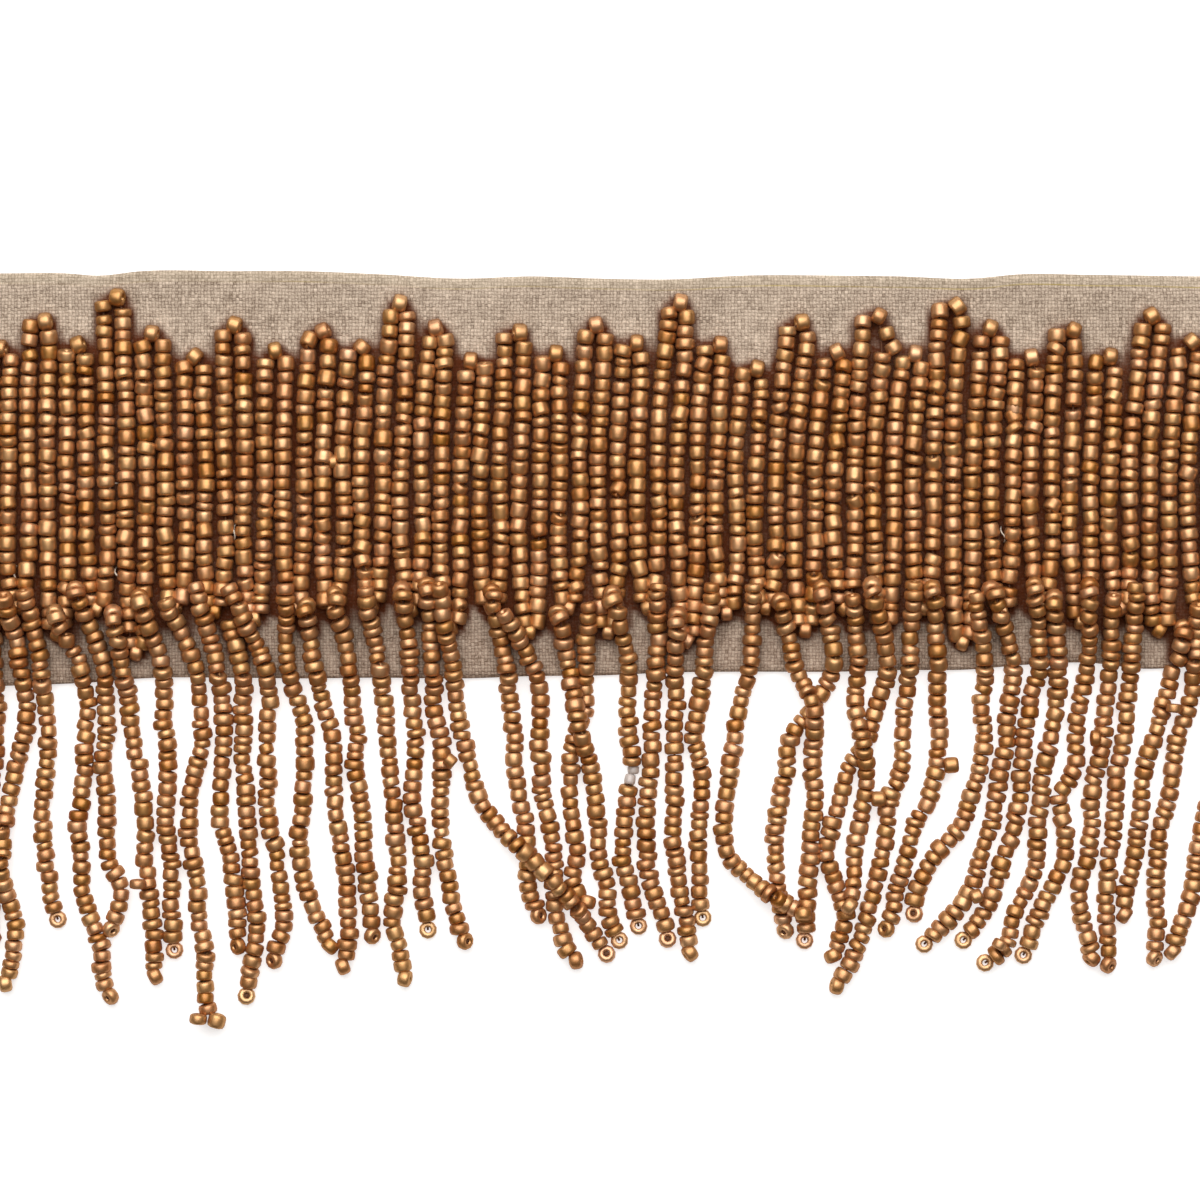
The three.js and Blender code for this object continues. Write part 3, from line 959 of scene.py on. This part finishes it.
# Strands from left to right: root x and y, tip x and y, how the first bead stands, how the
# stopper lies, and x at each of the depths above that the strand passes
STRANDS = [
    (-86.6, 6, -86.5, -37, "laid", "ring",
     [-86.4, -86.2, -86, -86.3, -86.4, -86.5, -86.6, -86.5]),
    (-83.5, 7.2, -83.3, -41.6, "laid", "oblique",
     [-83, -82.8, -82.9, -83.4, -83.6, -83.9, -84, -83.8, -83.6, -83.4]),
    (-80.8, 6.5, -81.3, -38.8, "laid", "edge",
     [-80.7, -80.6, -80.6, -81, -81.4, -81.6, -81.5, -81.4, -81.3]),
    (-78.9, 6.5, -79.5, -44.8, "laid", "edge",
     [-76.9, -76.5, -76.9, -78, -78.8, -79.4, -79.8, -79.5, -78.1, -78.3, -79.2]),
    (-76.3, 7.3, -72.4, -36.3, "laid", "ring",
     [-74.3, -74, -73.6, -73.9, -74.5, -74.5, -73.9, -73.6]),
    (-72.3, 4.9, -65.5, -46.5, "upright", "oblique",
     [-68.8, -68.4, -68.9, -68.9, -69.2, -69.7, -69.3, -69.1, -68, -66.7, -66.4]),
    (-69.5, 7.9, -65.2, -37.5, "upright", "oblique",
     [-66, -65.9, -66.1, -66.4, -65.9, -65.9, -65.7, -64.1, -64.7]),
    (-64.7, 4.7, -59.5, -43.8, "upright", "edge",
     [-63.3, -62.8, -62.4, -61.6, -61.2, -60.7, -60.8, -60.4, -59.9, -59.7]),
    (-61.1, 6.9, -56.9, -40.4, "upright", "ring",
     [-58.2, -58.3, -57.9, -57.6, -57.9, -58, -57.3, -57.2, -57.1]),
    (-57.6, 6, -52.4, -48.2, "laid", "laid",
     [-53.6, -53.5, -53.1, -53.8, -54.8, -55, -54.5, -53.7, -53.7, -52.8, -52.9]),
    (-53.7, 8.1, -48.3, -39.8, "laid", "oblique",
     [-50.8, -50.4, -50.3, -50.5, -50.7, -50.7, -49.3, -48.9, -48.4]),
    (-49.2, 3.2, -47.2, -46.5, "laid", "knot",
     [-47.6, -47.6, -47.7, -47.6, -47.3, -47.1, -46.8, -46.5, -45.9, -46.1, -46.9]),
    (-49.2, 7.9, -43.6, -41.7, "laid", "oblique",
     [-44.3, -44.1, -44.5, -44.4, -44.7, -44, -43.2, -42.7, -42.3, -43.1]),
    (-41.7, 7.9, -35.9, -39.8, "laid", "edge",
     [-41.3, -40, -39.4, -39.5, -39.6, -40.1, -40, -39.2, -37.7]),
    (-39.1, 5.7, -34.3, -42.5, "upright", "edge",
     [-37.7, -36.7, -35.7, -35.7, -35.4, -34.9, -34.3, -33.7, -33.6, -33.7]),
    (-35.2, 7.3, -30.5, -38.4, "upright", "oblique",
     [-33.3, -33.1, -32.4, -32.8, -31.9, -31.6, -31.5, -30.9, -30.5]),
    (-31.2, 7.6, -26.1, -44.1, "laid", "edge",
     [-29.1, -28.7, -28.5, -28.1, -27.5, -27.3, -27.1, -27.1, -27.9, -26.9]),
    (-26.1, 7.9, -23.2, -37.7, "upright", "ring",
     [-25.2, -25, -24.6, -24.9, -25, -24.4, -23.6, -23.7, -23.1]),
    (-22.9, 8.4, -18.1, -39.1, "upright", "oblique",
     [-22.3, -22.1, -21.3, -21.1, -21.3, -21.2, -20.8, -20.1, -19.2]),
    (-21.2, 7.9, 0.8, -40.9, "laid", "knot",
     [-19.5, -19.1, -18.3, -17.3, -16.1, -13.3, -9.1, -5.3, -2.1, 0.3]),
    (-14.5, 7.6, -8.1, -35.7, "upright", "oblique",
     [-12.3, -11.9, -11.5, -11.5, -10.7, -9.9, -9.7, -9.6]),
    (-12.5, 4.4, -3.3, -41.7, "laid", "edge",
     [-8.4, -7.9, -8.1, -7.9, -7.7, -6.7, -6.1, -6.2, -5.7, -4.4]),
    (-5.5, 4.7, 2.7, -39.1, "upright", "ring",
     [-3.9, -3.2, -2.3, -1.2, -0.7, -0.3, 0, 0.9, 1.3]),
    (-1.7, 5.5, -1.8, -33.9, "laid", "edge",
     [-1.9, -1.9, -3.5, -4, -4.1, -3.5, -3.2, -3.3]),
    (1.6, 7.3, 5.2, -37.2, "upright", "ring",
     [3.9, 3.6, 3.9, 4.3, 3.6, 3.3, 2.9, 4, 4.9]),
    (7.7, 8.1, 9.2, -38.9, "laid", "knot",
     [7.4, 6.9, 6.9, 6.8, 6.3, 6.1, 6.3, 6.9, 8.5]),
    (10.3, 4.4, 12.1, -40.7, "upright", "edge",
     [10, 10.1, 9.9, 9.9, 10, 9.6, 10.1, 10.6, 11.3]),
    (14.9, 8.1, 13.7, -36.1, "laid", "ring",
     [13.6, 13.1, 12.7, 13.5, 13.5, 13.2, 13.2, 13.2]),
    (20.3, 8.1, 27.1, -35.3, "laid", "edge",
     [19.7, 18.6, 18, 17.3, 16.8, 16.4, 17.4, 21.7]),
    (24, 6.3, 27.6, -39.1, "upright", "ring",
     [26.7, 28.5, 28.5, 28.3, 28.8, 28.1, 28, 27.7, 27.6]),
    (29.3, 8.1, 24.8, -37.7, "upright", "oblique",
     [30.6, 28.3, 25.4, 24.9, 24.1, 23.4, 23.5, 23.9, 24.4]),
    (33.6, 6.5, 33.2, -34.3, "laid", "edge",
     [34.4, 34.1, 34.9, 35.5, 35.3, 34.4, 34, 33.7]),
    (36.1, 8.4, 31.1, -41.1, "upright", "edge",
     [38, 36.9, 35.6, 33.3, 32, 30.9, 30.3, 31.7, 32.7, 31.6]),
    (41.6, 8.4, 31.6, -45.1, "laid", "edge",
     [41.1, 40.7, 40.4, 40.3, 38.8, 38.3, 37.6, 36.7, 35.7, 34.3, 32.3]),
    (44.1, 8.1, 38.3, -37.5, "upright", "oblique",
     [45.1, 45.1, 45.3, 44.8, 43.9, 41.9, 40.9, 39.6, 38.9]),
    (49.9, 6.8, 41.9, -35.5, "laid", "knot",
     [51.3, 50.9, 51.3, 50.7, 49.5, 47.9, 44.5, 42.5]),
    (52, 7.9, 43.3, -39.6, "upright", "ring",
     [55.1, 54.5, 54.3, 53.5, 52.9, 52.1, 50.7, 49.6, 46.7]),
    (57.6, 8.5, 48.4, -39.1, "upright", "ring",
     [58.3, 57.3, 56.7, 56.3, 56.1, 55.3, 53.9, 52.8, 50.8]),
    (60.1, 6.8, 51.3, -42.1, "upright", "ring",
     [61.1, 60.9, 60.1, 59.3, 58.8, 58.4, 58.3, 57.1, 55.1, 53.9]),
    (64.8, 8.4, 56.5, -41.1, "upright", "ring",
     [64.7, 63.9, 63.5, 63.3, 61.3, 62.1, 62, 60.3, 58.3, 56.9]),
    (68, 6.5, 65.8, -41.4, "laid", "edge",
     [67.9, 67.3, 67.2, 66.3, 65.6, 65.7, 65.1, 63.9, 64.4, 65.3]),
    (71.2, 8.1, 67.9, -42.3, "laid", "oblique",
     [70.7, 70.3, 70, 69.2, 68.8, 68.5, 68, 67.8, 67.6, 67.9]),
    (77.7, 2.8, 69.9, -35.6, "upright", "edge",
     [76.1, 75.2, 74, 72.7, 72.3, 71.9, 71.3, 70.3]),
    (79.5, 5.2, 74, -41.4, "laid", "oblique",
     [79.2, 78.5, 77.1, 76.4, 76, 74.8, 74.4, 74.1, 74.4, 74.1]),
    (81.6, 6.5, 76.3, -40.5, "laid", "edge",
     [81.9, 82, 82, 81.8, 81.3, 80.4, 79.6, 79.2, 78]),
    (84.8, 6, 82.6, -42, "laid", "ring",
     [84.8, 84.6, 84.4, 84.2, 84, 83.7, 83.3, 83, 82.8, 82.6]),
    (86.5, 7.1, 85.6, -38.6, "laid", "edge",
     [86.8, 86.7, 86.6, 86.3, 86, 85.8, 85.7, 85.7, 85.6]),
]

# Strands that were laid last, over their neighbours, in the order laid. First strand is 0
LAID_LAST = (12, 22, 19, 29, 28, 31, 33)

# Spare beads caught on the strands: x, y, direction of the hole in degrees, radius, length
SPARE_BEADS = [
    (-61.5, -31.3, 88, 1.1, 1.3),
    (-53.5, -49.3, 84, 1.15, 1.4),
    (-51.1, -49.6, 75, 1.15, 1.9),
    (-19.9, -14.9, -40, 0.9, 1.5),
    (37.1, -20, 0, 1.05, 1.9),
    (46.8, -15.5, 5, 1.05, 1.9),
    (50.1, -32.9, 20, 0.95, 1.5),
    (53.1, -39.3, 60, 0.95, 1.3),
    (65.9, -11.9, 0, 1.1, 1.3),
    (76.4, -7.9, 85, 1.05, 1.2),
]

# Two beads of clear glass strung among the bronze ones: x, y
CLEAR_BEADS = [(4.2, -15.7), (4.7, -17.3)]
CLEAR_BEAD_RADIUS = 0.78

ROUTE_POINTS = 500


def strand_route(root_x, root_y, tip_x, tip_y, passes):
    """A strand's line on the surface, from root to tip, as closely spaced points."""
    stations = [(-root_y, root_x)]
    stations += [(-y, x) for y, x in zip(STRAND_DEPTHS, passes)]
    stations.append((-tip_y, tip_x))
    line = smooth_line(*zip(*stations))
    depths = np.linspace(-root_y, -tip_y, ROUTE_POINTS)
    return np.array([(float(line(depth)), -depth) for depth in depths])


# The length of strand that each kind of stopper takes up
STOPPER_ROOM = {"ring": 2.3, "knot": 2.2, "oblique": 2, "edge": 1.8, "laid": 1.4}
STRAND_BEAD_PITCH = 1.42

# How the strand beads stand off their thread, more loosely than those of the columns
STRAND_BARRELS = (0.55, 1)
STRAND_TILTS = (0.12, 0.12, 0.08)
STRAND_ASIDE = 0.1


def strand_beads(route, stopper):
    """The beads of one strand along its route, before they settle on what lies below."""
    steps = np.hypot(*np.diff(route, axis=0).T)
    travelled = np.concatenate([[0], np.cumsum(steps)])
    count = round(travelled[-1] / STRAND_BEAD_PITCH)
    lengths = [varied(mean=1.4, spread=0.2, least=0.95, most=1.95) for _ in range(count + 1)]
    lengths[-1] = STOPPER_ROOM[stopper]
    lengths = np.array(lengths)
    middles = np.cumsum(lengths) - lengths / 2
    fit = travelled[-1] / (middles[-1] - middles[0])
    lengths *= fit
    ends = np.interp((middles - middles[0]) * fit, travelled, range(len(route)))
    stops = np.minimum(ends.astype(int), len(route) - 2)
    clear_stops = []
    for clear_bead in CLEAR_BEADS:
        reach = np.hypot(*(route[stops] - clear_bead).T)
        if reach.min() < CLEAR_BEAD_RADIUS:
            clear_stops.append(stops[reach.argmin()])
    beads = []
    for length, here in zip(lengths, stops):
        x, y = route[here]
        direction = Vector((*(route[here + 1] - route[here]), 0)).normalized()
        radius = varied(mean=1.235, spread=0.08, least=1.02, most=1.38)
        tilt = Vector([chance.gauss(0, spread) for spread in STRAND_TILTS])
        aside = chance.gauss(0, STRAND_ASIDE)
        clear = here in clear_stops
        if clear:
            radius = CLEAR_BEAD_RADIUS
        bead = bead_at((x + aside, y, 0), direction + tilt, radius, length, bare=float(clear))
        bead["barrel"] = chance.uniform(*STRAND_BARRELS)
        beads.append(bead)
    return beads


# A strand bead sinks a little between those below it, and a strand rises over another no more
# steeply than its stiff thread lets it
SETTLED_WIDTH = 2.1
STEEPEST = 0.5
EDGE_OVERHANG = 0.4 * MM


def support(place):
    """How high the surface lies under a bead: the linen's face or the floor."""
    edge = float(bottom_edge(place.x)) - EDGE_OVERHANG
    return BAND_FACE if place.y > edge else 0


def settle(beads, below):
    """Lets a strand's beads down onto the floor, the linen and the beads that lie there."""
    heights = []
    for bead in beads:
        place = bead["place"]
        height = support(place) + bead["radius"] * max(1, bead["oval"])
        if len(below):
            gaps = np.hypot(below[:, 0] - place.x, below[:, 1] - place.y)
            near = gaps < SETTLED_WIDTH * MM
            if near.any():
                rises = np.sqrt((SETTLED_WIDTH * MM) ** 2 - gaps[near] ** 2)
                height = max(height, float((below[near, 2] + rises).max()))
        heights.append(height)
    for order in (range(1, len(beads)), range(len(beads) - 2, -1, -1)):
        toward = -1 if order.step == 1 else 1
        for i in order:
            reach = (beads[i]["place"] - beads[i + toward]["place"]).length
            heights[i] = max(heights[i], heights[i + toward] - STEEPEST * reach)
    for i, bead in enumerate(beads):
        around = heights[max(0, i - 1) : i + 2]
        bead["place"].z = max(heights[i], sum(around) / len(around))
    for before, after in zip(beads, beads[1:]):
        slope = after["place"] - before["place"]
        before["axis"] = Vector(before["axis"]) + Vector((0, 0, slope.z / slope.length))
    return np.array([tuple(bead["place"]) for bead in beads])


# The head of a strand whose thread comes straight up out of the linen: how far each of its
# first beads stands above where it would lie, how far it is drawn back over the bead before,
# and how steeply its hole rises along the thread
STANDING_HEAD = [
    (0.3, 0, 1.3),
    (1.0, 0.55, 0.2),
    (0.65, 0.4, -0.3),
    (0.25, 0.15, -0.25),
]

# Stopper beads, as long as the kind is, or else as long as any other bead
STOPPER_RADIUS = 1.2
STOPPER_LENGTHS = {"edge": 1.7, "ring": 1.1}
STOPPER_LENGTH = 1.4
RING_TONE = 0.9
KNOT_REACH = 0.45 * MM
HEAD_SWAY = 0.15

end_knots = []


def knot_in(bead):
    """Fills a bead's hole with the end of the thread."""
    through = Vector(bead["axis"]).normalized() * KNOT_REACH
    end_knots.append([bead["place"] - through, bead["place"] + through])


def finish_ends(beads, first, stopper):
    """Stands the first bead up where the thread leaves the linen, and turns the stopper.

    A ring lies flat with its hole open to the surface, a knot is a ring whose hole the end of
    the thread fills, an oblique bead is tipped up and knotted, and an edge bead lies on its side.
    """
    if first == "upright":
        for bead, (lift, drawn_back, rise) in zip(beads, STANDING_HEAD):
            along = Vector((bead["axis"][0], bead["axis"][1], 0)).normalized()
            bead["axis"] = along + Vector((chance.gauss(0, HEAD_SWAY), 0, rise))
            bead["place"] += (Vector((0, 0, lift)) - along * drawn_back) * MM
        knot_in(beads[0])
    if stopper == "laid":
        return
    last = beads[-1]
    along = Vector(last["axis"])
    across = Vector((-along.y, along.x, 0)) * chance.choice((-1, 1))
    axes = {
        "ring": Vector((0, 0.06, 1)),
        "knot": Vector((chance.gauss(0, 0.2), 0.25, 1)),
        "oblique": across * 0.7 + along * 0.3 + Vector((0, 0, 0.75)),
        "edge": across * 0.8 + along * 0.45 + Vector((0, 0, 0.2)),
    }
    settled_reach = last["radius"] * max(1, last["oval"])
    last["axis"] = axes[stopper]
    last["length"] = STOPPER_LENGTHS.get(stopper, STOPPER_LENGTH) * MM
    last["radius"] = STOPPER_RADIUS * MM
    last["oval"] = 1
    last["barrel"] = 1
    upright = abs(last["axis"].normalized().z)
    turned_reach = last["length"] / 2 * upright + last["radius"] * math.sqrt(1 - upright**2)
    last["place"].z += turned_reach - settled_reach
    if stopper in ("ring", "knot"):
        last["tone"] = RING_TONE
    if stopper in ("knot", "oblique"):
        knot_in(last)


laid = np.array([tuple(bead["place"]) for beads in column_repeats for bead in beads])
order = [n for n in range(len(STRANDS)) if n not in LAID_LAST] + list(LAID_LAST)
strands = {}
for number in order:
    root_x, root_y, tip_x, tip_y, first, stopper, passes = STRANDS[number]
    beads = strand_beads(strand_route(root_x, root_y, tip_x, tip_y, passes), stopper)
    laid = np.concatenate([laid, settle(beads, laid)])
    finish_ends(beads, first, stopper)
    strands[number] = beads

strand_threads = [[bead["place"].copy() for bead in beads] for beads in strands.values()]
thread_piece("fringe_thread", strand_threads, BEAD_THREAD, waxed_thread)
thread_piece("fringe_knots", end_knots, KNOT, waxed_thread)

STRANDS_IN_GROUP = 10

strand_groups = [[] for group in range(GROUPS)]
for number, beads in strands.items():
    strand_groups[number // STRANDS_IN_GROUP] += beads
for x, y, direction, radius, length in SPARE_BEADS:
    angle = math.radians(direction)
    spare = bead_at((x, y, 0), (math.cos(angle), math.sin(angle), 0), radius, length)
    settle([spare], laid)
    nearest = min(strand_groups, key=lambda beads: abs(beads[0]["place"].x / MM - x))
    nearest.append(spare)

for number, beads in enumerate(strand_groups, 1):
    piece = string_of_beads(f"fringe_strands_{number}", beads)
    piece.data.materials.append(bronze)
    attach(piece, "root")
    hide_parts("fringe")


# Painted shade on the linen
# The cloth under the field is painted a dark red brown as the beads' shadow and their reflected
# bronze, right through between the columns, fading out just past the outermost beads. The lower
# margin, under the strands, is painted a little darker all over as their shade.
HEAD_BEADS = 4
SHADE_REACH = 1.4 * MM
UNSHADED = 0.22
FULLY_SHADED = 0.66
SHADED_BELOW_Y = 6 * MM
MARGIN_SHADE = 0.26
MARGIN_SHADE_FADE = 4 * MM
POINTS_AT_ONCE = 2000

facing = cloth_points[:, 2] > BAND_FACE / 2
resting = [bead["place"] for beads in column_repeats for bead in beads]
resting += [bead["place"] for beads in strands.values() for bead in beads[:HEAD_BEADS]]
resting = np.array([tuple(place) for place in resting])
# Painted shade: the nearer and the more beads, the darker the cloth is painted
painted_shade = np.zeros(len(cloth_points))
for start in range(0, len(cloth_points), POINTS_AT_ONCE):
    patch = cloth_points[start : start + POINTS_AT_ONCE, :2]
    gaps = np.hypot(*(patch[:, None] - resting[None, :, :2]).transpose(2, 0, 1))
    touch = np.exp(-((gaps / SHADE_REACH) ** 2)).sum(axis=1)
    share = (touch - UNSHADED) / (FULLY_SHADED - UNSHADED)
    painted_shade[start : start + POINTS_AT_ONCE] = np.clip(share, 0, 1)
# Painted shade on the lower margin, where the strands lie over it
margin_shade = MARGIN_SHADE * np.clip((SHADED_BELOW_Y - cloth_points[:, 1]) / MARGIN_SHADE_FADE, 0, 1)
painted_shade = np.maximum(painted_shade, margin_shade)
painted_shade_mark = linen_band.data.attributes.new("painted_shade", "FLOAT", "POINT")
painted_shade_mark.data.foreach_set("value", (painted_shade * facing).astype(np.float32))

sewn_on = [piece for piece in scene.objects if piece.name.startswith(("bead_", "fringe_"))]
sewn_on = [piece for piece in sewn_on if piece.name not in frame["nodes"]]
sewn_on += [field_thread, couching_thread, stitches]


bpy.context.view_layer.update()
